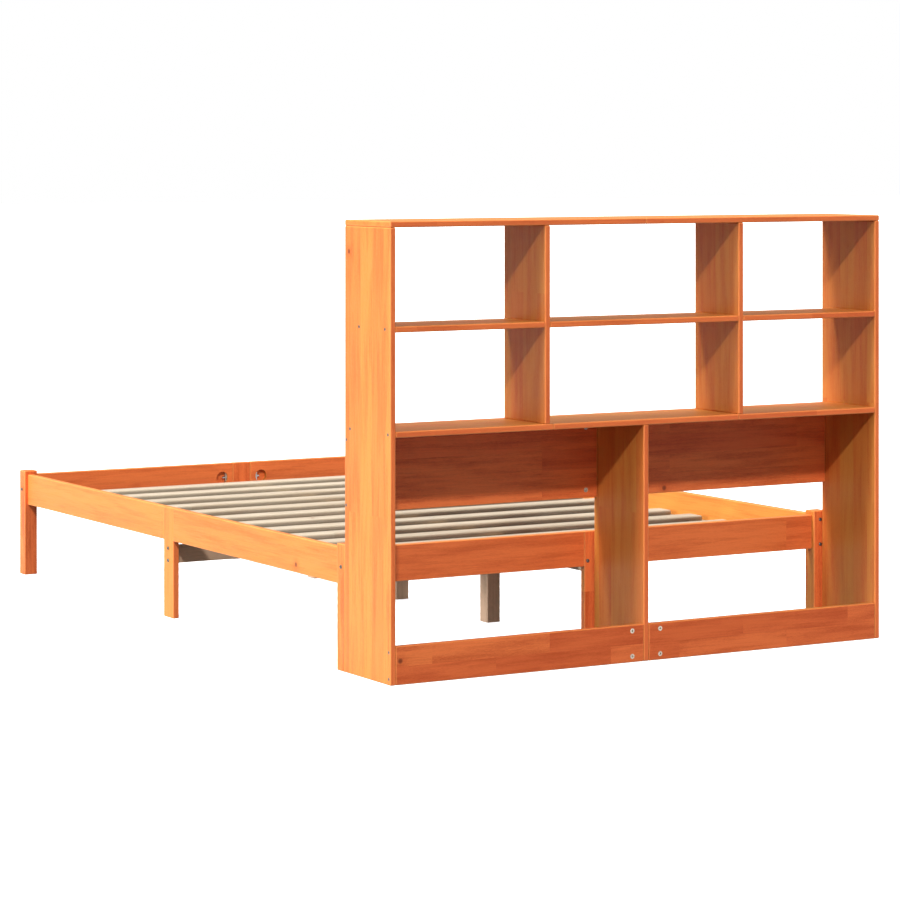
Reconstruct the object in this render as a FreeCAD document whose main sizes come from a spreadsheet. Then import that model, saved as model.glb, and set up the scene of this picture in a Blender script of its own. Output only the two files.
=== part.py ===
import FreeCAD, Part
import os
import re

import Sketcher

# A slatted pine bed with an open bookcase as its headboard. The bookcase stands on the floor at the
# head and holds six compartments above and two open bays below; the bed frame runs from its front
# to the foot. +Z is up, +Y points to the head and +X to the right of someone who stands at the foot.

# Every driving size, in millimetres, under the name that the rest of the model uses.
SIZES = {
    # The bed frame.
    "well_width": 1400,  # between the side rails, where a mattress lies
    "well_length": 2000,
    "rail_thickness": 18,
    "rail_height": 90,
    "rail_top": 299,
    "rail_setback": 9.5,  # from the posts' outer faces to the rails' outer faces
    "post_width": 40,
    "post_height": 310,
    "centre_post_width": 60,
    "frame_arris": 2.5,
    # What carries the mattress.
    "slat_count": 13,
    "slat_width": 60,
    "slat_thickness": 16,
    "slat_arris": 6.4,
    "slat_end_play": 20,
    "slat_head_play": 0.5,  # from the head posts to the first slat
    "slat_foot_gap": 71.5,  # from the last slat to the foot rails
    "batten_width": 35,
    "batten_height": 23,
    "beam_width": 60,
    "beam_height": 36,
    "cross_beam_thickness": 18,
    "cross_beam_height": 49,
    "leg_width": 40,
    # The bookcase.
    "case_height": 1100,
    "case_depth": 228,
    "board_thickness": 15,
    "case_arris": 3,
    "divider_spacing": 576,  # between the middles of the two upper dividers
    "divider_depth": 195,
    "upper_shelf_depth": 182,
    "middle_shelf_top": 601,
    "shelf_joint_offset": 9.5,  # from the right divider to the middle shelf's joint
    "headboard_height": 199,
    "bottom_rail_height": 93,
    # Long domed screws that hold the rails and beams to the posts.
    "frame_screw_diameter": 6,
    "frame_screw_length": 80,
    "frame_screw_head": 9.5,
    "frame_screw_rise": 3,
    "frame_screw_socket": 4,
    "frame_screw_inset": 12,  # from the rail's edges
    "beam_screw_drop": 8.5,  # under the centre beam's top
    "beam_screw_spacing": 41,
    "cross_screw_inset": 8,  # from the cross beam's edges
    # Threaded rods that draw each pair of rails onto its centre post.
    "rod_diameter": 6,
    "rod_length": 126,
    "pocket_diameter": 38,
    "pocket_depth": 14,
    "pocket_offset": 37,  # from the centre post to the pocket's middle
    "half_moon_width": 10,
    "half_moon_height": 7,
    # Flat-headed screws through the bookcase's sides.
    "panel_screw_diameter": 5,
    "panel_screw_length": 50,
    "panel_screw_head": 8,
    "panel_screw_socket": 3,
    "rail_screw_inset": 15,
    "middle_shelf_screw_inset": 12,
    "upper_shelf_screw_inset": 27,
    "headboard_screw_inset": 20,
    # Cam fittings through the centre divider.
    "cam_diameter": 12,
    "cam_depth": 11,
    "cam_socket": 5,
    "cam_offset": 34,
    "cam_bolt_diameter": 6,
    "cam_bolt_grip": 3,  # how far the bolt enters each cam
    # Small screws in the slats and battens.
    "wood_screw_diameter": 4,
    "wood_screw_length": 45,
    "wood_screw_head": 8,
    "wood_screw_slot": 1.2,
    "batten_screw_inset": 100,
    # Dowels that line the boards and legs up.
    "dowel_diameter": 8,
    "dowel_length": 35,
    "dowel_chamfer": 1,
    "dowel_face_depth": 9,
    "dowel_inset": 40,
    "joint_dowel_inset": 70,
    "leg_dowel_spacing": 20,
    # Bores are this much wider, all round, and deeper than what they hold.
    "bore_clearance": 0.2,
    "bore_spare": 1,
}

doc = FreeCAD.newDocument("BookcaseHeadboardBed")
sheet = doc.addObject("Spreadsheet::Sheet", "Sizes")
for row, (alias, value) in enumerate(SIZES.items(), start=1):
    sheet.set(f"A{row}", alias)
    sheet.set(f"B{row}", str(value))
    sheet.setAlias(f"B{row}", alias)
doc.recompute()
SIZE_NAME = re.compile(r"\b(" + "|".join(SIZES) + r")\b")


def bind(item, field, rule):
    """Ties one field of an object to the sizes that its rule names."""
    item.setExpression(field, SIZE_NAME.sub(r"Sizes.\1", rule))


RIGHT = FreeCAD.Vector(1, 0, 0)
HEADWARD = FreeCAD.Vector(0, 1, 0)
UP = FreeCAD.Vector(0, 0, 1)
SIDES = (("right", 1), ("left", -1))

# Lengths and places that follow from the driving sizes. Places are measured from the middle of the
# whole bed's footprint, at the floor.
frame_width = "(well_width + 2 * rail_thickness + 2 * rail_setback)"
frame_length = "(well_length + 2 * rail_thickness + 2 * rail_setback)"
half_width = f"({frame_width} / 2)"
back = f"((case_depth + {frame_length} + frame_screw_rise) / 2)"
front = f"({back} - case_depth)"
foot = f"({front} - {frame_length})"
bed_middle = f"(({front} + {foot}) / 2)"
rail_bottom = "(rail_top - rail_height)"
rail_middle = "(rail_top - rail_height / 2)"
rail_line = f"({half_width} - rail_setback - rail_thickness)"
slat_base = f"({rail_bottom} + batten_height)"
beam_base = f"({slat_base} - beam_height)"
cross_base = f"({beam_base} - cross_beam_height)"
head_rail_y = f"({front} - rail_setback - rail_thickness)"
foot_rail_y = f"({foot} + rail_setback)"
top_underside = "(case_height - board_thickness)"
shelf_underside = "(middle_shelf_top - board_thickness)"
upper_shelf_base = f"((middle_shelf_top + {top_underside} - board_thickness) / 2)"
headboard_base = f"({shelf_underside} - headboard_height)"
divider_middle = "(divider_spacing / 2)"
divider_inner = f"({divider_middle} - board_thickness / 2)"
divider_outer = f"({divider_middle} + board_thickness / 2)"
right_joint = f"({divider_inner} - shelf_joint_offset)"
left_joint = f"(-{divider_inner})"
side_inner = f"({half_width} - board_thickness)"
middle_shelf_depth = "(case_depth - board_thickness)"

blanks = {}
bores = []
fasteners = {}


def board(name, corner, size, arris):
    """A straight piece of wood with all its arrises eased, from its lowest corner and its size."""
    body = doc.addObject("PartDesign::Body", f"{name}_blank")
    outline = body.newObject("Sketcher::SketchObject", f"{name}_outline")
    ground = next(plane for plane in body.Origin.OriginFeatures if plane.Role == "XY_Plane")
    outline.AttachmentSupport = (ground, [""])
    outline.MapMode = "FlatFace"
    corners = [FreeCAD.Vector(*point) for point in ((0, 0), (10, 0), (10, 10), (0, 10))]
    for start, end in zip(corners, corners[1:] + corners[:1]):
        outline.addGeometry(Part.LineSegment(start, end))
    for edge in range(4):
        outline.addConstraint(Sketcher.Constraint("Coincident", edge, 2, (edge + 1) % 4, 1))
        outline.addConstraint(Sketcher.Constraint("Vertical" if edge % 2 else "Horizontal", edge))
    outline.addConstraint(Sketcher.Constraint("Coincident", 0, 1, -1, 1))
    across = outline.addConstraint(Sketcher.Constraint("DistanceX", 0, 1, 0, 2, 10))
    outline.renameConstraint(across, "across")
    along = outline.addConstraint(Sketcher.Constraint("DistanceY", 1, 1, 1, 2, 10))
    outline.renameConstraint(along, "along")
    bind(outline, "Constraints.across", size[0])
    bind(outline, "Constraints.along", size[1])
    block = body.newObject("PartDesign::Pad", f"{name}_block")
    block.Profile = outline
    bind(block, "Length", size[2])
    eased = body.newObject("PartDesign::Fillet", f"{name}_eased")
    eased.Base = (block, ["Edge1"])
    eased.UseAllEdges = True
    thinnest = f"min({size[0]}; {size[1]}; {size[2]})"
    bind(eased, "Radius", f"min({arris}; 0.4 * {thinnest})")
    for axis, place in zip("xyz", corner):
        bind(body, f"Placement.Base.{axis}", place)
    blanks[name] = body


def pair(name, corner, size, arris):
    """The right-hand board given and its mirror image on the left."""
    x, y, z = corner
    board(f"{name}_right", corner, size, arris)
    board(f"{name}_left", (f"-({x}) - ({size[0]})", y, z), size, arris)


def cylinder(body, kind, radius, height, base, turn=None):
    """A round feature of a fastener or bore, along its own axis from a base point."""
    feature = body.newObject(f"PartDesign::{kind}Cylinder", f"{body.Name}_round")
    bind(feature, "Radius", radius)
    bind(feature, "Height", height)
    if turn:
        feature.Placement = FreeCAD.Placement(FreeCAD.Vector(), turn)
    for axis, place in zip("xyz", base):
        bind(feature, f"Placement.Base.{axis}", place)
    return feature


def slot(body, width, length, depth, base):
    """A straight slot, centred on the fastener's axis, that starts at a height and goes up."""
    feature = body.newObject("PartDesign::SubtractiveBox", f"{body.Name}_slot")
    bind(feature, "Width", width)
    bind(feature, "Length", length)
    bind(feature, "Height", depth)
    bind(feature, "Placement.Base.x", f"-({length}) / 2")
    bind(feature, "Placement.Base.y", f"-({width}) / 2")
    bind(feature, "Placement.Base.z", base)


def socket(body, across_flats, depth, base):
    """A hexagonal key socket, from a height upwards."""
    feature = body.newObject("PartDesign::SubtractivePrism", f"{body.Name}_socket")
    feature.Polygon = 6
    bind(feature, "Circumradius", f"{across_flats} / sqrt(3)")
    bind(feature, "Height", depth)
    bind(feature, "Placement.Base.z", base)


def outer_edges(feature, height):
    """The names of the widest edges of a round feature that lie at one height."""
    flat = {
        f"Edge{number}": edge.BoundBox.XLength
        for number, edge in enumerate(feature.Shape.Edges, start=1)
        if abs(edge.BoundBox.ZMin - height) + abs(edge.BoundBox.ZMax - height) < 0.001
    }
    widest = max(flat.values())
    return [name for name, width in flat.items() if width > widest - 0.001]


def taper(body, name, low_radius, high_radius):
    """The countersunk part of a flat head, which ends flush with the surface."""
    cone = body.newObject("PartDesign::AdditiveCone", name)
    bind(cone, "Radius1", low_radius)
    bind(cone, "Radius2", high_radius)
    bind(cone, "Height", f"({high_radius}) - ({low_radius})")
    bind(cone, "Placement.Base.z", f"({low_radius}) - ({high_radius})")


def bore_for(screw, diameter, length):
    """The plain bore of a screw, open at the surface under its head."""
    bore = doc.addObject("PartDesign::Body", f"{screw}_bore")
    deep = f"({length} + bore_spare)"
    cylinder(bore, "Additive", f"{diameter} / 2 + bore_clearance", deep, ("0", "0", f"-{deep}"))
    return bore


# Fasteners. Each is modelled once, upright at the origin: its head points up, and what it enters
# lies below. Copies of it are then laid where the pieces meet, together with copies of its bore.
frame_screw = doc.addObject("PartDesign::Body", "frame_screw")
cylinder(frame_screw, "Additive", "frame_screw_head / 2", "frame_screw_rise", ("0", "0", "0"))
shaft = cylinder(
    frame_screw,
    "Additive",
    "frame_screw_diameter / 2",
    "frame_screw_length",
    ("0", "0", "-frame_screw_length"),
)
doc.recompute()
dome = frame_screw.newObject("PartDesign::Fillet", "frame_screw_dome")
dome.Base = (shaft, outer_edges(shaft, sheet.frame_screw_rise))
bind(dome, "Radius", "0.8 * frame_screw_rise")
socket(frame_screw, "frame_screw_socket", "frame_screw_rise", "0.4 * frame_screw_rise")
frame_screw_bore = bore_for("frame_screw", "frame_screw_diameter", "frame_screw_length")

panel_screw = doc.addObject("PartDesign::Body", "panel_screw")
taper(panel_screw, "panel_screw_head", "panel_screw_diameter / 2", "panel_screw_head / 2")
cylinder(
    panel_screw,
    "Additive",
    "panel_screw_diameter / 2",
    "panel_screw_length",
    ("0", "0", "-panel_screw_length"),
)
socket(panel_screw, "panel_screw_socket", "panel_screw_head / 2", "-0.3 * panel_screw_head")
panel_screw_bore = bore_for("panel_screw", "panel_screw_diameter", "panel_screw_length")
taper(
    panel_screw_bore,
    "panel_screw_sink",
    "panel_screw_diameter / 2 + bore_clearance",
    "panel_screw_head / 2 + bore_clearance",
)

wood_screw = doc.addObject("PartDesign::Body", "wood_screw")
taper(wood_screw, "wood_screw_head", "wood_screw_diameter / 2", "wood_screw_head / 2")
cylinder(
    wood_screw,
    "Additive",
    "wood_screw_diameter / 2",
    "wood_screw_length",
    ("0", "0", "-wood_screw_length"),
)
cross_arm = "(0.6 * wood_screw_head)"
cross_floor = "(-0.15 * wood_screw_head)"
slot(wood_screw, "wood_screw_slot", cross_arm, "wood_screw_head", cross_floor)
slot(wood_screw, cross_arm, "wood_screw_slot", "wood_screw_head", cross_floor)
wood_screw_bore = bore_for("wood_screw", "wood_screw_diameter", "wood_screw_length")
taper(
    wood_screw_bore,
    "wood_screw_sink",
    "wood_screw_diameter / 2 + bore_clearance",
    "wood_screw_head / 2 + bore_clearance",
)

# A dowel lies half on each side of its own middle.
dowel = doc.addObject("PartDesign::Body", "dowel")
pin = cylinder(
    dowel,
    "Additive",
    "dowel_diameter / 2",
    "dowel_length",
    ("0", "0", "-dowel_length / 2"),
)
doc.recompute()
ends = dowel.newObject("PartDesign::Chamfer", "dowel_ends")
half_dowel = sheet.dowel_length / 2
ends.Base = (pin, outer_edges(pin, half_dowel) + outer_edges(pin, -half_dowel))
bind(ends, "Size", "dowel_chamfer")
dowel_bore = doc.addObject("PartDesign::Body", "dowel_bore")
dowel_hole = "(dowel_length + bore_spare)"
cylinder(
    dowel_bore,
    "Additive",
    "dowel_diameter / 2 + bore_clearance",
    dowel_hole,
    ("0", "0", f"-{dowel_hole} / 2"),
)

# The joint rod runs along its own X axis, halfway through the rail: its nuts sit in round pockets
# that open towards its Z axis, each bearing on the pocket's wall next to the centre post.
ALONG_X = FreeCAD.Rotation(UP, RIGHT)
pocket_reach = "(centre_post_width / 2 + pocket_offset)"
pocket_floor = "(rail_thickness / 2 - pocket_depth)"
half_moon_radius = "(pocket_diameter / 2 - bore_clearance)"
joint_rod = doc.addObject("PartDesign::Body", "joint_rod")
cylinder(
    joint_rod,
    "Additive",
    "rod_diameter / 2",
    "rod_length",
    ("-rod_length / 2", "0", "0"),
    ALONG_X,
)
half_moon_nut = doc.addObject("PartDesign::Body", "half_moon_nut")
cylinder(
    half_moon_nut,
    "Additive",
    half_moon_radius,
    "half_moon_width",
    (pocket_reach, "0", f"{pocket_floor} + bore_clearance"),
)
cut_away = half_moon_nut.newObject("PartDesign::SubtractiveBox", "half_moon_nut_flat")
bind(cut_away, "Length", "pocket_diameter")
bind(cut_away, "Width", "pocket_diameter")
bind(cut_away, "Height", "2 * pocket_depth")
bind(cut_away, "Placement.Base.x", f"{pocket_reach} - {half_moon_radius} + half_moon_height")
bind(cut_away, "Placement.Base.y", "-pocket_diameter / 2")
bind(cut_away, "Placement.Base.z", "-pocket_depth")
cylinder(
    half_moon_nut,
    "Subtractive",
    "rod_diameter / 2 + bore_clearance",
    "rod_length",
    ("0", "0", "0"),
    ALONG_X,
)
joint_rod_bore = doc.addObject("PartDesign::Body", "joint_rod_bore")
cylinder(
    joint_rod_bore,
    "Additive",
    "rod_diameter / 2 + bore_clearance",
    f"2 * {pocket_reach}",
    (f"-{pocket_reach}", "0", "0"),
    ALONG_X,
)
for _, sign in SIDES:
    cylinder(
        joint_rod_bore,
        "Additive",
        "pocket_diameter / 2",
        "pocket_depth + bore_spare",
        (f"{sign} * {pocket_reach}", "0", pocket_floor),
    )

# The cam fitting's bolt runs along its own X axis, halfway through a board, into a cam at each end.
# The cams' faces look along its Z axis and lie flush with the board, each with a key socket.
cam_reach = "(board_thickness / 2 + cam_offset)"
cam_floor = "(board_thickness / 2 - cam_depth)"
cam_bolt = doc.addObject("PartDesign::Body", "cam_bolt")
bolt_half = f"({cam_reach} - cam_diameter / 2 + cam_bolt_grip)"
cylinder(
    cam_bolt,
    "Additive",
    "cam_bolt_diameter / 2",
    f"2 * {bolt_half}",
    (f"-{bolt_half}", "0", "0"),
    ALONG_X,
)
cam = doc.addObject("PartDesign::Body", "cam")
cylinder(cam, "Additive", "cam_diameter / 2", "cam_depth", (cam_reach, "0", cam_floor))
cylinder(
    cam,
    "Subtractive",
    "cam_bolt_diameter / 2 + bore_clearance",
    f"{bolt_half} + bore_clearance",
    ("0", "0", "0"),
    ALONG_X,
)
socket(cam, "cam_socket", "cam_depth", "board_thickness / 2 - 0.35 * cam_depth")
bind(cam.Tip, "Placement.Base.x", cam_reach)
cam_bore = doc.addObject("PartDesign::Body", "cam_bore")
cylinder(
    cam_bore,
    "Additive",
    "cam_bolt_diameter / 2 + bore_clearance",
    f"2 * {cam_reach}",
    (f"-{cam_reach}", "0", "0"),
    ALONG_X,
)
for _, sign in SIDES:
    cylinder(
        cam_bore,
        "Additive",
        "cam_diameter / 2 + bore_clearance",
        "cam_depth + bore_spare",
        (f"{sign} * {cam_reach}", "0", cam_floor),
    )


def lay(master, place, run, out):
    """A copy of a fastener or bore, at a point, with its X axis along a run and its Z axis outwards."""
    copy = doc.addObject("App::Link", f"{master.Name}_copy")
    copy.LinkedObject = master
    turn = FreeCAD.Rotation(run, out.cross(run), out, "ZXY")
    copy.Placement = FreeCAD.Placement(FreeCAD.Vector(), turn)
    for axis, rule in zip("xyz", place):
        bind(copy, f"Placement.Base.{axis}", rule)
    return copy


def fasten(group, master, bore, place, out, run=None):
    """Lays one fastener and its bore, head outwards."""
    if run is None:
        run = RIGHT if abs(out.x) < 0.5 else HEADWARD
    fasteners.setdefault(group, []).append(lay(master, place, run, out))
    bores.append(lay(bore, place, run, out))


# The bookcase: two sides, one divider below and two above, shelves between them, two headboard
# panels level with the front and two rails along the floor at the back.
pair(
    "side_panel",
    (side_inner, front, "0"),
    ("board_thickness", "case_depth", top_underside),
    "case_arris",
)
pair(
    "top_board",
    ("0", front, top_underside),
    (half_width, "case_depth", "board_thickness"),
    "case_arris",
)
pair(
    "upper_divider",
    (divider_inner, f"{back} - divider_depth", "middle_shelf_top"),
    ("board_thickness", "divider_depth", f"{top_underside} - middle_shelf_top"),
    "case_arris",
)
pair(
    "upper_shelf",
    (divider_outer, f"{back} - upper_shelf_depth", upper_shelf_base),
    (f"{side_inner} - {divider_outer}", "upper_shelf_depth", "board_thickness"),
    "case_arris",
)
board(
    "upper_shelf_middle",
    (f"-{divider_inner}", f"{back} - upper_shelf_depth", upper_shelf_base),
    (f"2 * {divider_inner}", "upper_shelf_depth", "board_thickness"),
    "case_arris",
)
middle_shelf_ends = (
    ("middle_shelf_right", right_joint, side_inner),
    ("middle_shelf_middle", left_joint, right_joint),
    ("middle_shelf_left", f"(-{side_inner})", left_joint),
)
for name, start, end in middle_shelf_ends:
    board(
        name,
        (start, f"{back} - {middle_shelf_depth}", shelf_underside),
        (f"{end} - {start}", middle_shelf_depth, "board_thickness"),
        "case_arris",
    )
board(
    "centre_divider",
    ("-board_thickness / 2", front, "0"),
    ("board_thickness", "case_depth", shelf_underside),
    "case_arris",
)
bay_width = f"({side_inner} - board_thickness / 2)"
pair(
    "headboard_panel",
    ("board_thickness / 2", front, headboard_base),
    (bay_width, "board_thickness", "headboard_height"),
    "case_arris",
)
pair(
    "bottom_rail",
    ("board_thickness / 2", f"{back} - board_thickness", "0"),
    (bay_width, "board_thickness", "bottom_rail_height"),
    "case_arris",
)

# The bed frame: a square post at each corner, a flat post halfway along each side, and rails in
# two lengths between them.
half_rail = f"({frame_length} / 2 - post_width - centre_post_width / 2)"
cross_rail = f"({half_width} - post_width - centre_post_width / 2)"
cross_ends = (("head", f"{front} - post_width", head_rail_y), ("foot", foot, foot_rail_y))
for end, post_y, rail_y in cross_ends:
    pair(
        f"{end}_post",
        (f"{half_width} - post_width", post_y, "0"),
        ("post_width", "post_width", "post_height"),
        "frame_arris",
    )
    board(
        f"{end}_centre_post",
        ("-centre_post_width / 2", rail_y, "0"),
        ("centre_post_width", "rail_thickness", "rail_top"),
        "frame_arris",
    )
    pair(
        f"{end}_rail",
        ("centre_post_width / 2", rail_y, rail_bottom),
        (cross_rail, "rail_thickness", "rail_height"),
        "frame_arris",
    )
pair(
    "side_centre_post",
    (rail_line, f"{bed_middle} - centre_post_width / 2", "0"),
    ("rail_thickness", "centre_post_width", "rail_top"),
    "frame_arris",
)
side_rails = (("head", f"{bed_middle} + centre_post_width / 2"), ("foot", f"{foot} + post_width"))
for end, rail_y in side_rails:
    pair(
        f"side_rail_{end}",
        (rail_line, rail_y, rail_bottom),
        ("rail_thickness", half_rail, "rail_height"),
        "frame_arris",
    )

# What carries the mattress: battens along the side rails, a beam down the middle on three legs,
# a cross beam under it between the side centre posts, and slats screwed down on the beam.
pair(
    "slat_batten",
    ("well_width / 2 - batten_width", f"{foot} + post_width", rail_bottom),
    ("batten_width", f"{frame_length} - 2 * post_width", "batten_height"),
    "frame_arris",
)
board(
    "centre_beam",
    ("-beam_width / 2", f"{bed_middle} - well_length / 2", beam_base),
    ("beam_width", "well_length", "beam_height"),
    "frame_arris",
)
board(
    "cross_beam",
    ("-well_width / 2", f"{bed_middle} - cross_beam_thickness / 2", cross_base),
    ("well_width", "cross_beam_thickness", "cross_beam_height"),
    "frame_arris",
)
legs = (
    ("head_leg", f"({bed_middle} + well_length / 4)", beam_base),
    ("middle_leg", bed_middle, cross_base),
    ("foot_leg", f"({bed_middle} - well_length / 4)", beam_base),
)
for name, leg_y, leg_height in legs:
    board(
        name,
        ("-leg_width / 2", f"{leg_y} - leg_width / 2", "0"),
        ("leg_width", "leg_width", leg_height),
        "frame_arris",
    )
slat_total = round(sheet.slat_count)
first_slat = f"({front} - post_width - slat_head_play - slat_width)"
last_slat = f"({foot_rail_y} + rail_thickness + slat_foot_gap)"
slat_pitch = f"(({first_slat} - {last_slat}) / {slat_total - 1})"
slat_places = [f"({first_slat} - {number} * {slat_pitch})" for number in range(slat_total)]
for number, slat_y in enumerate(slat_places, start=1):
    board(
        f"slat_{number:02d}",
        ("slat_end_play - well_width / 2", slat_y, slat_base),
        ("well_width - 2 * slat_end_play", "slat_width", "slat_thickness"),
        "slat_arris",
    )

# Frame screws: two from each corner post into the side rail and one into the head or foot rail, two
# from each head and foot centre post into the beam, and two from each side centre post into the
# cross beam. In the corner posts they stand clear of the bookcase's side.
clear_of_side = "board_thickness + frame_screw_head / 2 + bore_clearance"
screw_line = f"max(rail_setback + rail_thickness / 2; {clear_of_side})"
screw_x = f"({half_width} - {screw_line})"
ends = (("head", 1, front, head_rail_y), ("foot", -1, foot, foot_rail_y))
for _, side in SIDES:
    for _, end, face, rail_y in ends:
        for height in ("rail_top - frame_screw_inset", f"{rail_bottom} + frame_screw_inset"):
            place = (f"{side} * {screw_x}", face, height)
            fasten("frame_screws", frame_screw, frame_screw_bore, place, HEADWARD * end)
        place = (f"{side} * {half_width}", f"{rail_y} + rail_thickness / 2", rail_middle)
        fasten("frame_screws", frame_screw, frame_screw_bore, place, RIGHT * side)
        outer_face = f"{face} - {end} * rail_setback"
        place = (f"{side} * beam_screw_spacing / 2", outer_face, f"{slat_base} - beam_screw_drop")
        fasten("frame_screws", frame_screw, frame_screw_bore, place, HEADWARD * end)
    for height in (f"{cross_base} + cross_screw_inset", f"{beam_base} - cross_screw_inset"):
        place = (f"{side} * ({half_width} - rail_setback)", bed_middle, height)
        fasten("frame_screws", frame_screw, frame_screw_bore, place, RIGHT * side)

# Joint rods: one across each centre post, with its pockets on the inside of the rails.
rod_places = (
    (("0", f"{head_rail_y} + rail_thickness / 2", rail_middle), RIGHT, -HEADWARD),
    (("0", f"{foot_rail_y} + rail_thickness / 2", rail_middle), RIGHT, HEADWARD),
    ((f"{rail_line} + rail_thickness / 2", bed_middle, rail_middle), HEADWARD, -RIGHT),
    ((f"-{rail_line} - rail_thickness / 2", bed_middle, rail_middle), HEADWARD, RIGHT),
)
for place, run, out in rod_places:
    fasten("joint_rods", joint_rod, joint_rod_bore, place, out, run)
    for end in (run, -run):
        fasteners.setdefault("half_moon_nuts", []).append(lay(half_moon_nut, place, end, out))

# Panel screws: through each side of the bookcase into the ends of what meets it.
middle_shelf_centre = "middle_shelf_top - board_thickness / 2"
upper_shelf_centre = f"{upper_shelf_base} + board_thickness / 2"
panel_screw_places = (
    (f"{back} - board_thickness / 2", "rail_screw_inset"),
    (f"{back} - board_thickness / 2", "bottom_rail_height - rail_screw_inset"),
    (f"{back} - middle_shelf_screw_inset", middle_shelf_centre),
    (f"{back} - {middle_shelf_depth} + middle_shelf_screw_inset", middle_shelf_centre),
    (f"{back} - upper_shelf_screw_inset", upper_shelf_centre),
    (f"{back} - upper_shelf_depth + upper_shelf_screw_inset", upper_shelf_centre),
    (f"{front} + board_thickness / 2", f"{headboard_base} + headboard_screw_inset"),
    (f"{front} + board_thickness / 2", f"{shelf_underside} - headboard_screw_inset"),
)
for _, side in SIDES:
    for screw_y, screw_z in panel_screw_places:
        place = (f"{side} * {half_width}", screw_y, screw_z)
        fasten("panel_screws", panel_screw, panel_screw_bore, place, RIGHT * side)

# Cam fittings: through the centre divider, between the two floor rails and between the two
# headboard panels, with the cams on the back.
cam_places = (
    (f"{back} - board_thickness / 2", "rail_screw_inset"),
    (f"{back} - board_thickness / 2", "bottom_rail_height - rail_screw_inset"),
    (f"{front} + board_thickness / 2", f"{headboard_base} + headboard_screw_inset"),
    (f"{front} + board_thickness / 2", f"{shelf_underside} - headboard_screw_inset"),
)
for cam_y, cam_z in cam_places:
    place = ("0", cam_y, cam_z)
    fasten("cam_fittings", cam_bolt, cam_bore, place, HEADWARD, RIGHT)
    for end in (RIGHT, -RIGHT):
        fasteners["cam_fittings"].append(lay(cam, place, end, HEADWARD))

# Wood screws: one through the middle of each slat into the beam, and three through each half of
# both battens into the side rails.
for slat_y in slat_places:
    place = ("0", f"{slat_y} + slat_width / 2", f"{slat_base} + slat_thickness")
    fasten("wood_screws", wood_screw, wood_screw_bore, place, UP)
half_batten = f"(({frame_length} / 2) - post_width)"
batten_screw_offsets = (
    "batten_screw_inset",
    f"{half_batten} / 2",
    f"({half_batten} - batten_screw_inset)",
)
for _, side in SIDES:
    for _, end in SIDES:
        for offset in batten_screw_offsets:
            place = (
                f"{side} * (well_width / 2 - batten_width)",
                f"{bed_middle} + {end} * {offset}",
                f"{rail_bottom} + batten_height / 2",
            )
            fasten("wood_screws", wood_screw, wood_screw_bore, place, -RIGHT * side)

# Dowels: upright ones between the boards of the bookcase and on the legs, and level ones through
# the upper dividers and across the butt joints of the shelves and the top.
over_top = f"{top_underside} + dowel_face_depth - dowel_length / 2"
under_divider = "middle_shelf_top - dowel_face_depth + dowel_length / 2"
over_centre = f"{shelf_underside} + dowel_face_depth - dowel_length / 2"
near_back = f"{back} - dowel_inset"
near_front = f"{front} + dowel_inset"
near_edge = f"{back} - divider_depth + dowel_inset"
upright = []
level = []
for _, side in SIDES:
    side_middle = f"{side} * ({half_width} - board_thickness / 2)"
    divider_x = f"{side} * {divider_middle}"
    upright += [(side_middle, y, over_top) for y in (near_back, near_front)]
    upright += [(divider_x, y, over_top) for y in (near_back, near_edge)]
    upright += [(divider_x, y, under_divider) for y in (near_back, near_edge)]
    level.append((divider_x, f"{back} - upper_shelf_screw_inset", upper_shelf_centre))
    shelf_front = f"{back} - upper_shelf_depth + upper_shelf_screw_inset"
    level.append((divider_x, shelf_front, upper_shelf_centre))
upright += [("0", y, over_centre) for y in (near_back, near_front)]
for joint_x in (right_joint, left_joint):
    for y in (f"{back} - joint_dowel_inset", f"{back} - {middle_shelf_depth} + joint_dowel_inset"):
        level.append((joint_x, y, middle_shelf_centre))
level += [("0", y, "case_height - board_thickness / 2") for y in (near_back, near_front)]
for _, leg_y, leg_height in legs:
    upright += [(f"{side} * leg_dowel_spacing / 2", leg_y, leg_height) for _, side in SIDES]
for place in upright:
    fasten("dowels", dowel, dowel_bore, place, UP)
for place in level:
    fasten("dowels", dowel, dowel_bore, place, RIGHT)

# Each piece is its blank, cut by the bores that reach it.
doc.recompute()
parts = []
for name, blank in blanks.items():
    reaching = [bore for bore in bores if bore.Shape.BoundBox.intersect(blank.Shape.BoundBox)]
    holes = doc.addObject("Part::Compound", f"{name}_holes")
    holes.Links = reaching
    piece = doc.addObject("Part::Cut", name)
    piece.Label = name
    piece.Base = blank
    piece.Tool = holes
    parts.append(piece)
for name, copies in fasteners.items():
    group = doc.addObject("Part::Compound", name)
    group.Label = name
    group.Links = copies
    parts.append(group)
doc.recompute()

failed = [item.Label for item in doc.Objects if {"Invalid", "Error"} & set(item.State)]
if failed:
    raise RuntimeError(f"these features failed: {', '.join(failed)}")
for part in parts:
    if part.Shape.isNull() or not part.Shape.isValid():
        raise RuntimeError(f"{part.Label} has no valid shape")
for name, blank in blanks.items():
    if not doc.getObject(name).Shape.Volume < blank.Shape.Volume:
        raise RuntimeError(f"{name} has no bore")
os.makedirs("parts", exist_ok=True)
for part in parts:
    part.Shape.exportStep(f"parts/{part.Label}.step")
print(len(parts), "pieces and groups written")
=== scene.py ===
import math
import random

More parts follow.
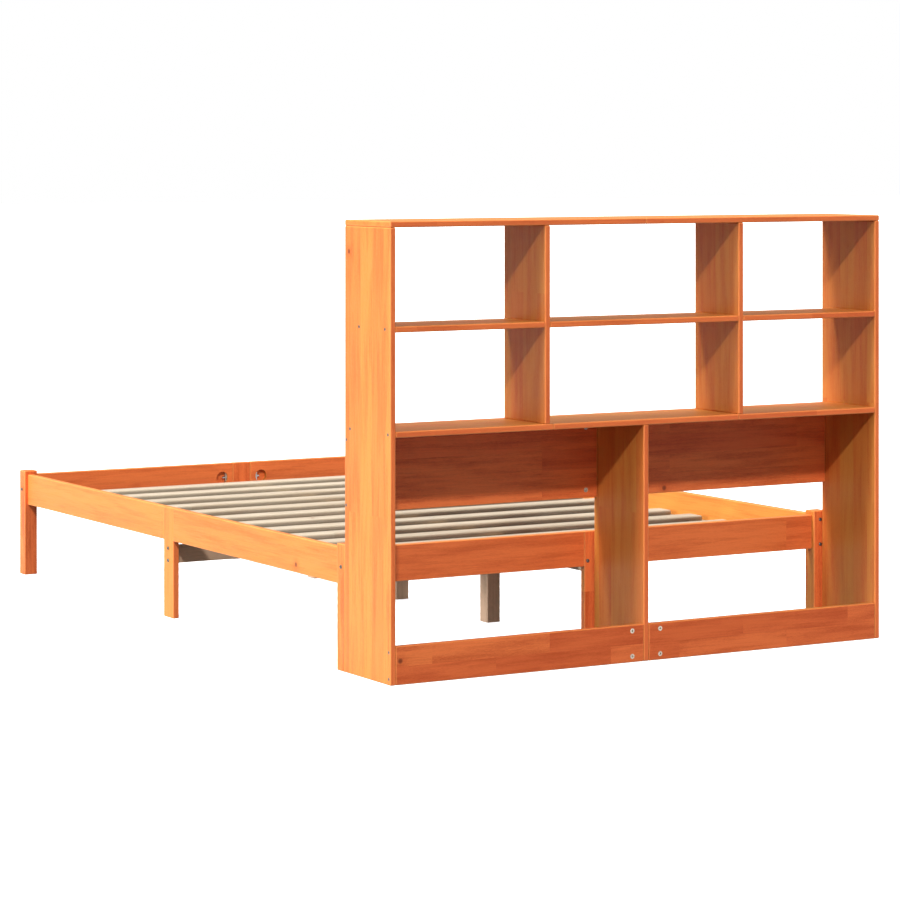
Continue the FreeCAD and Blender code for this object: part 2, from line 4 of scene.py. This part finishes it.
import bmesh
import bpy
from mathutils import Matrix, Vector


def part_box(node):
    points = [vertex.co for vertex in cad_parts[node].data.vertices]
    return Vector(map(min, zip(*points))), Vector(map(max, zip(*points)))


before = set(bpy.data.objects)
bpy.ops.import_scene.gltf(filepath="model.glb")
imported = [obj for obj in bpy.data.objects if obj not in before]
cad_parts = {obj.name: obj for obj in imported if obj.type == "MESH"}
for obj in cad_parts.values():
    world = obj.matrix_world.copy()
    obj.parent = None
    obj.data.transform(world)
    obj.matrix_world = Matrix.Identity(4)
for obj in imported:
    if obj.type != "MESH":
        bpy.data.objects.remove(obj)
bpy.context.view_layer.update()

# Bookcase. Pine boards 15 mm thick: sides and dividers stand, and shelves, top, headboard panels
# and floor rails lie between and on them. Each board is glued up from narrow staves, planed,
# stained orange-brown and sealed with a thin satin lacquer.


def linear(code):
    """An sRGB hex colour as the linear colour that a shader takes."""
    parts = [int(code[place : place + 2], 16) / 255 for place in (1, 3, 5)]
    return (*(p / 12.92 if p <= 0.04045 else ((p + 0.055) / 1.055) ** 2.4 for p in parts), 1)


def add(tree, kind, *links, **settings):
    """Adds a node to a material: its first inputs in order, then settings and inputs by name."""
    node = tree.nodes.new("ShaderNode" + kind)
    named = {key: value for key, value in settings.items() if key in node.inputs}
    for key, value in settings.items():
        if key not in named:
            setattr(node, key, value)
    open_inputs = [socket for socket in node.inputs if socket.enabled]
    pairs = list(zip(open_inputs, links))
    pairs += [(node.inputs[key], value) for key, value in named.items()]
    for socket, value in pairs:
        if isinstance(value, bpy.types.Node):
            value = next(out for out in value.outputs if out.enabled)
        if isinstance(value, bpy.types.NodeSocket):
            tree.links.new(value, socket)
        else:
            socket.default_value = value
    return node


def lay_board(tree, board, grain, across):
    """Places from the board's middle, along its grain, across and through it, and half its size."""
    low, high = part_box(board)
    through = next(axis for axis in "XYZ" if axis not in (grain, across))
    axes = ["XYZ".index(axis) for axis in (grain, across, through)]
    middle = [-(low[axis] + high[axis]) / 2 for axis in axes]
    half = [(high[axis] - low[axis]) / 2 for axis in axes]
    place = add(tree, "SeparateXYZ", add(tree, "TexCoord").outputs["Object"])
    laid = add(tree, "CombineXYZ", *(place.outputs[axis] for axis in (grain, across, through)))
    return add(tree, "VectorMath", laid, middle, operation="ADD"), half


def glue_staves(tree, laid, stave_width, block_length, luck):
    """Blocks finger-jointed end to end in rows: their tones, and each one's own place in the log."""
    start = (luck.uniform(3, 5), 2 + stave_width / 2 * (luck.random() < 0.5), 0)
    staves = add(
        tree,
        "TexBrick",
        add(tree, "VectorMath", laid, start, operation="ADD"),
        (0, 0, 0, 1),
        (1, 1, 1, 1),
        Scale=1,
        offset=luck.uniform(0.3, 0.7),
        **{"Mortar Size": 0, "Brick Width": block_length, "Row Height": stave_width},
    )
    tone = staves.outputs["Color"]
    # Wood's patterns are some twenty times longer along the grain than across it.
    drawn_out = add(tree, "VectorMath", laid, (0.05, 1, 1), operation="MULTIPLY")
    # Two blocks lie up to this far apart in the log.
    apart = (7.3, 0.11, 0.05)
    in_log = add(tree, "VectorMath", tone, apart, drawn_out, operation="MULTIPLY_ADD")
    return tone, in_log


def grow_knots(tree, laid, luck):
    """Shares of knots' dark cores and of the wood that bends round them, for places on a board."""
    patch = 0.142857
    patches_with_one = 0.035
    core_radius, core_edge, bent_radius = 0.00357, 0.00786, 0.0286
    start = (luck.uniform(0, 9), luck.uniform(0, 9), 0)
    spots = add(
        tree,
        "TexVoronoi",
        add(tree, "VectorMath", laid, start, operation="ADD"),
        voronoi_dimensions="2D",
        Scale=1 / patch,
        Randomness=1,
    )
    away = add(tree, "Math", spots.outputs["Distance"], patch, operation="MULTIPLY")
    chosen = add(tree, "SeparateColor", spots.outputs["Color"])
    chosen = add(tree, "Math", chosen, 1 - patches_with_one, operation="GREATER_THAN")
    core = add(tree, "MapRange", away, core_radius, core_edge, 0.85, 0.0)
    core = add(tree, "Math", core, chosen, operation="MULTIPLY")
    near = add(tree, "MapRange", away, 0.0, bent_radius, 1.0, 0.0, interpolation_type="SMOOTHSTEP")
    near = add(tree, "Math", near, chosen, operation="MULTIPLY")
    return core, near


def grow_rings(tree, laid, in_log, knot_near, heart, luck):
    """Growth rings round a pith that lies heart metres aside.

    Far aside they make straight lines, and near by long arches, because the log leans and wanders
    a little. Knots push them out.
    """
    spacing = 0.007
    spacing_at_scale_one = 0.314
    wandering, pushed_out = 0.05, 0.016
    lean = luck.choice((-1, 1)) * luck.uniform(0.02, 0.05)
    aside = add(tree, "Math", add(tree, "SeparateXYZ", laid), lean, operation="MULTIPLY")
    # One bend takes some 400 mm along the grain and 500 mm across it.
    slow = add(tree, "VectorMath", in_log, (50, 2, 2), operation="MULTIPLY")
    wander = add(tree, "TexNoise", slow, Scale=1, Detail=1)
    aside = add(tree, "Math", wander, wandering, aside, operation="MULTIPLY_ADD")
    aside = add(tree, "Math", knot_near, pushed_out, aside, operation="MULTIPLY_ADD")
    bent = add(tree, "CombineXYZ", 0, 0, aside)
    bent = add(tree, "VectorMath", in_log, bent, operation="ADD")
    pith = (luck.uniform(0, 9), heart * luck.uniform(0.7, 1.3), luck.uniform(0.0, 0.05))
    rings = add(
        tree,
        "TexWave",
        add(tree, "VectorMath", bent, pith, operation="ADD"),
        wave_type="RINGS",
        rings_direction="X",
        wave_profile="SAW",
        Scale=spacing_at_scale_one / spacing,
        Distortion=8,
        Detail=1,
        **{"Detail Scale": 28, "Detail Roughness": 0.5},
    )
    return rings.outputs["Fac"]


def measure_to_arris(tree, laid, half):
    """How far a place lies from the nearest arris, which is its distance to the second face."""
    sides = add(tree, "VectorMath", laid, operation="ABSOLUTE")
    inset = add(tree, "VectorMath", half, sides, operation="SUBTRACT")
    inset = add(tree, "SeparateXYZ", inset)
    first, second, third = (inset.outputs[axis] for axis in "XYZ")
    nearer = add(tree, "Math", first, second, operation="MINIMUM")
    farther = add(tree, "Math", first, second, operation="MAXIMUM")
    farther = add(tree, "Math", farther, third, operation="MINIMUM")
    return add(tree, "Math", nearer, farther, operation="MAXIMUM")


def sawn_pine(name, board, cut, tones, roughness):
    """One board's material, sawn and glued up its own way, in four wood tones and a painted arris
    highlight.
    """
    grain, across, stave_width, block_length, heart, figure = cut
    light, red, late, knot, arris_highlight = tones
    luck = random.Random(board)
    material = bpy.data.materials.new(f"{name}_{board}")
    material.use_nodes = True
    tree = material.node_tree
    tree.nodes.clear()
    laid, half = lay_board(tree, board, grain, across)
    stave_tone, in_log = glue_staves(tree, laid, stave_width, block_length, luck)
    knot_core, knot_near = grow_knots(tree, laid, luck)
    rings = grow_rings(tree, laid, in_log, knot_near, heart, luck)

    # Fibres, drawn as streaks 1.9 mm wide: the real ones are too fine to show.
    fine = add(tree, "VectorMath", in_log, (0.35, 1, 1), operation="MULTIPLY")
    fibres = add(tree, "TexNoise", fine, Scale=1 / 0.001923, Detail=3, Roughness=0.65)
    # Streaks of deeper stain, some 23 mm wide and 230 mm long.
    broad = add(tree, "VectorMath", in_log, (2, 1, 1), operation="MULTIPLY")
    streaks = add(tree, "TexNoise", broad, Scale=1 / 0.022727, Detail=3, Roughness=0.55)
    # The late wood's lines show more in some places than in others.
    strength = add(tree, "MapRange", streaks, 0.35, 0.65, 0.45, 1.0)
    lines = add(tree, "Math", rings, strength, operation="MULTIPLY")

    # Faces that look towards the head and foot are redder than the others.
    facing = add(tree, "SeparateXYZ", add(tree, "TexCoord").outputs["Normal"]).outputs["Y"]
    facing = add(tree, "Math", facing, operation="ABSOLUTE")
    stave_red = add(tree, "Math", stave_tone, 0.2, operation="MULTIPLY")
    red_share = add(tree, "Math", facing, 0.8, stave_red, operation="MULTIPLY_ADD")
    colour = add(tree, "Mix", red_share, light, red, data_type="RGBA").outputs[2]
    for pattern, start, end, most in (
        # a pattern, where in it late wood starts and ends, and its greatest share there
        (stave_tone, 0.3, 1.0, 0.8 * figure),
        (lines, 0.25, 0.9, figure),
        (streaks, 0.45, 0.75, 0.95 * figure),
        (fibres, 0.5, 0.8, 0.32),
        (knot_near, 0.0, 1.0, 0.35),
    ):
        share = add(tree, "MapRange", pattern, start, end, 0.0, most)
        colour = add(tree, "Mix", share, colour, late, data_type="RGBA").outputs[2]
    colour = add(tree, "Mix", knot_core, colour, knot, data_type="RGBA").outputs[2]
    # Painted highlight: the eased arrises are lightened up to some 3 mm from each edge.
    from_arris = measure_to_arris(tree, laid, half)
    arris_highlight_share = add(tree, "MapRange", from_arris, 0.0022, 0.0036, 0.34, 0.0)
    colour = add(tree, "Mix", arris_highlight_share, colour, arris_highlight, data_type="RGBA").outputs[2]

    height = add(tree, "Math", rings, fibres, operation="ADD")
    relief = add(tree, "Bump", 0.25, 0.0002, Height=height)
    shine = add(tree, "MapRange", fibres, 0.3, 0.75, roughness - 0.06, roughness + 0.08)
    surface = add(tree, "BsdfPrincipled", colour, Roughness=shine, Normal=relief)
    surface.inputs["Specular IOR Level"].default_value = 0.16
    add(tree, "OutputMaterial", surface)
    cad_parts[board].material_slots[0].material = material


def saw_boards(name, groups, tones, roughness):
    """Gives each board of each group of like boards a material of its own."""
    for boards, cut in groups:
        for board in boards.split():
            sawn_pine(name, board, cut, tones, roughness)


# Stained pine: the stain takes more in the soft early wood's staves, so tones run from honey to
# orange-red, late wood shows as thin darker lines, and the lacquer gives a soft satin shine.
HONEY_STAIN = linear("#C68139")
RED_STAIN = linear("#F47A42")
LATE_STAIN = linear("#B2441A")
KNOT_STAIN = linear("#6B2F14")
# The arrises' painted highlight: a light orange laid over the stain.
PAINTED_ARRIS_HIGHLIGHT = linear("#F59C58")
STAINED = (HONEY_STAIN, RED_STAIN, LATE_STAIN, KNOT_STAIN, PAINTED_ARRIS_HIGHLIGHT)
SATIN_ROUGHNESS = 0.48
bookcase = (
    # boards, then the axes of their grain and width, a stave's width, the length of its blocks, how
    # far aside the pith lies, and how strongly late wood shows
    ("side_panel_right side_panel_left", ("Z", "Y", 0.057, 2.3, 0.12, 0.42)),
    ("upper_divider_right upper_divider_left", ("Z", "Y", 0.057, 1.3, 0.12, 0.42)),
    ("centre_divider", ("Z", "Y", 0.057, 1.3, 0.12, 0.42)),
    ("top_board_right top_board_left", ("X", "Y", 0.057, 0.6, 0.08, 0.3)),
    ("upper_shelf_right upper_shelf_middle upper_shelf_left", ("X", "Y", 0.06, 0.6, 0.08, 0.3)),
    ("middle_shelf_right middle_shelf_middle", ("X", "Y", 0.054, 0.6, 0.08, 0.3)),
    ("middle_shelf_left", ("X", "Y", 0.054, 0.6, 0.08, 0.3)),
    ("headboard_panel_right headboard_panel_left", ("X", "Z", 0.05, 0.75, 0.08, 0.6)),
    ("bottom_rail_right bottom_rail_left", ("X", "Z", 0.047, 0.33, 0.03, 0.62)),
)
saw_boards("stained_pine", bookcase, STAINED, SATIN_ROUGHNESS)

# Bed frame. Square posts at the corners, flat posts halfway along each side and rails in two
# lengths between them, planed from solid pine, eased at the arrises and stained as the bookcase is.
# Whole wood is a stave wider and longer than any of these boards.
WHOLE = (0.2, 9)
bed_frame = (
    ("head_post_right head_post_left", ("Z", "X", *WHOLE, 0.06, 0.6)),
    ("head_centre_post foot_centre_post", ("Z", "X", *WHOLE, 0.06, 0.6)),
    ("foot_post_right foot_post_left", ("Z", "X", *WHOLE, 0.06, 0.8)),
    ("head_rail_right head_rail_left", ("X", "Z", *WHOLE, 0.06, 0.4)),
    ("foot_rail_right foot_rail_left", ("X", "Z", *WHOLE, 0.06, 0.4)),
    ("side_centre_post_right side_centre_post_left", ("Z", "Y", *WHOLE, 0.08, 0.33)),
    ("side_rail_head_right side_rail_head_left", ("Y", "Z", *WHOLE, 0.1, 0.33)),
    ("side_rail_foot_right side_rail_foot_left", ("Y", "Z", *WHOLE, 0.1, 0.33)),
)
saw_boards("stained_pine", bed_frame, STAINED, SATIN_ROUGHNESS)

# Slats, battens and centre beam. Planed pine in whole lengths, left bare because the mattress
# hides it. Bare pine: pale straw with faint yellow-brown late wood, matt because nothing seals it.
STRAW = linear("#B5A995")
WARM_STRAW = linear("#AA9C86")
BARE_LATE = linear("#8D765E")
BARE_KNOT = linear("#6E4428")
MATT_ROUGHNESS = 0.62
slats = " ".join(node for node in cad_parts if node[-2:].isdigit())
carriers = (
    (slats, ("X", "Y", *WHOLE, 0.08, 0.4)),
    ("slat_batten_right slat_batten_left", ("Y", "Z", *WHOLE, 0.08, 0.4)),
    ("centre_beam", ("Y", "X", *WHOLE, 0.08, 0.4)),
)
# The last tone is the arrises' painted highlight.
bare = (STRAW, WARM_STRAW, BARE_LATE, BARE_KNOT, WARM_STRAW)
saw_boards("bare_pine", carriers, bare, MATT_ROUGHNESS)

# Cross beam and middle legs. Bare pine like the slats, painted a little browner for the warm shade
# under the bed. The legs stand under the centre beam.
UNDER_BED_SHADE_STRAW = linear("#CBAA90")
DEEP_UNDER_BED_SHADE_STRAW = linear("#BE9C80")
supports = (
    ("cross_beam", ("X", "Z", *WHOLE, 0.08, 0.4)),
    ("head_leg middle_leg foot_leg", ("Z", "X", *WHOLE, 0.08, 0.4)),
)
# Browner copies of bare pine as painted shade; the last tone is the arrises' painted highlight.
bare_in_painted_shade = (UNDER_BED_SHADE_STRAW, DEEP_UNDER_BED_SHADE_STRAW, BARE_LATE, BARE_KNOT, UNDER_BED_SHADE_STRAW)
saw_boards("bare_pine", supports, bare_in_painted_shade, MATT_ROUGHNESS)

# Screws, rods, half-moon nuts and cams. Turned, cold-headed or die-cast, then plated where they are
# steel, and sunk in the wood with only their heads in view.


def worked_metal(name, light, dark, roughness, speck):
    """A metal with a fine uneven sheen between two tones: its specks are speck metres wide."""
    material = bpy.data.materials.new(name)
    material.use_nodes = True
    tree = material.node_tree
    tree.nodes.clear()
    place = add(tree, "TexCoord").outputs["Object"]
    specks = add(tree, "TexNoise", place, Scale=1 / speck, Detail=2)
    shade = add(tree, "Mix", specks, linear(light), linear(dark), data_type="RGBA").outputs[2]
    shine = add(tree, "MapRange", specks, 0.3, 0.7, roughness - 0.06, roughness + 0.08)
    relief = add(tree, "Bump", 0.15, 0.0001, Height=specks)
    surface = add(tree, "BsdfPrincipled", shade, Roughness=shine, Normal=relief)
    surface.inputs["Metallic"].default_value = 1
    add(tree, "OutputMaterial", surface)
    return material


# Zinc-plated steel: cold grey with a soft, slightly cloudy shine, bright on the small fittings.
bright_zinc = worked_metal("zinc_plated_steel", "#D4D6D8", "#B4B7BA", roughness=0.32, speck=0.002)
for node in ("joint_rods", "half_moon_nuts", "wood_screws"):
    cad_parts[node].material_slots[0].material = bright_zinc
# The long screws' plating is darker and a shade browner.
dark_zinc = worked_metal("dark_zinc_plated_steel", "#6E6A64", "#55514C", roughness=0.34, speck=0.002)
for node in ("frame_screws", "panel_screws"):
    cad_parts[node].material_slots[0].material = dark_zinc
# Zinc alloy: die-cast, so duller and more even than the plated steel.
cast_zinc = worked_metal("zinc_alloy", "#C4BCAE", "#A79F92", roughness=0.5, speck=0.0015)
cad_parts["cam_fittings"].material_slots[0].material = cast_zinc

# Dowels. Beech rod with a fine, even, pinkish grain, cut to length and left raw, and hidden once
# the bed stands.
PALE_BEECH = linear("#D9B48A")
WARM_BEECH = linear("#CFA67A")
BEECH_LATE = linear("#B58A5E")
BEECH_KNOT = linear("#8A5F3A")
# The last tone is the arrises' painted highlight.
beech = (PALE_BEECH, WARM_BEECH, BEECH_LATE, BEECH_KNOT, PALE_BEECH)
sawn_pine("beech", "dowels", ("Z", "X", *WHOLE, 0.08, 0.4), beech, 0.6)

# Studio. A pale painted floor that glows a little, so that it comes out white and shadows on it
# stay faint. It throws no light back on the wood.
FLOOR_REACH = 60
floor_mesh = bmesh.new()
bmesh.ops.create_grid(floor_mesh, x_segments=1, y_segments=1, size=FLOOR_REACH)
floor_data = bpy.data.meshes.new("floor")
floor_mesh.to_mesh(floor_data)
floor_mesh.free()
floor = bpy.data.objects.new("floor", floor_data)
bpy.context.scene.collection.objects.link(floor)
floor.visible_diffuse = False
paint = bpy.data.materials.new("pale_floor_paint")
paint.use_nodes = True
coat = paint.node_tree.nodes["Principled BSDF"].inputs
coat["Base Color"].default_value = linear("#E9E8E6")
coat["Roughness"].default_value = 0.9
coat["Specular IOR Level"].default_value = 0.1
coat["Emission Color"].default_value = (1, 1, 1, 1)
coat["Emission Strength"].default_value = 0.72
floor.data.materials.append(paint)

# The main light shines on the bed's right side, one lights what faces the camera, and the far
# side's reaches the shelves' tops.
lights = (
    # name, turn from +X towards +Y, height above the horizon, width, and how bright it makes a
    # white face that is square to it
    ("main_light", -3, 40, 20, 1.33),
    ("low_light", 0, 8, 10, 0.52),
    ("camera_side_light", 60, 36, 3, 0.62),
    ("far_side_light", 250, 68, 50, 0.68),
    ("fill_light", 75, 15, 60, 0.05),
)
for name, turn, height, width, brightness in lights:
    lamp = bpy.data.lights.new(name, "SUN")
    lamp.energy = brightness * math.pi
    lamp.angle = math.radians(width)
    light = bpy.data.objects.new(name, lamp)
    light.rotation_euler = (0, math.radians(90 - height), math.radians(turn))
    bpy.context.scene.collection.objects.link(light)

# The surround: white to the camera, and to the wood dim below and brighter above the horizon.
world = bpy.data.worlds.new("white_surround")
bpy.context.scene.world = world
world.use_nodes = True
world.node_tree.nodes.clear()
seen = add(world.node_tree, "LightPath").outputs["Is Camera Ray"]
up = add(world.node_tree, "TexCoord").outputs["Generated"]
up = add(world.node_tree, "SeparateXYZ", up).outputs["Z"]
glow = add(world.node_tree, "MapRange", up, -0.45, 0.15, 0.06, 0.4)
glow = add(world.node_tree, "Math", glow, seen, operation="MAXIMUM")
surround = add(world.node_tree, "Background", (1, 1, 1, 1), glow)
add(world.node_tree, "OutputWorld", surround)
bpy.context.scene.view_settings.view_transform = "Standard"

# Camera. Level, 1.27 m up, behind the bookcase and to its right, 8.8 m from the bed's middle. Its
# lens and shift come from the photograph's own vanishing lines, in pixels of its 900.
PHOTO_WIDTH = 900
FOCAL_LENGTH = 3132.8
SIGHT_ACROSS, SIGHT_DOWN = 443.55, 149.7
lens = bpy.data.cameras.new("camera")
lens.sensor_width = 36
lens.lens = FOCAL_LENGTH / PHOTO_WIDTH * 36
lens.shift_x = (PHOTO_WIDTH / 2 - SIGHT_ACROSS) / PHOTO_WIDTH
lens.shift_y = (SIGHT_DOWN - PHOTO_WIDTH / 2) / PHOTO_WIDTH
camera = bpy.data.objects.new("camera", lens)
camera.location = (4.3339, 7.6206, 1.2695)
camera.rotation_euler = (math.pi / 2, 0, math.pi - 0.525)
bpy.context.scene.collection.objects.link(camera)
bpy.context.scene.camera = camera
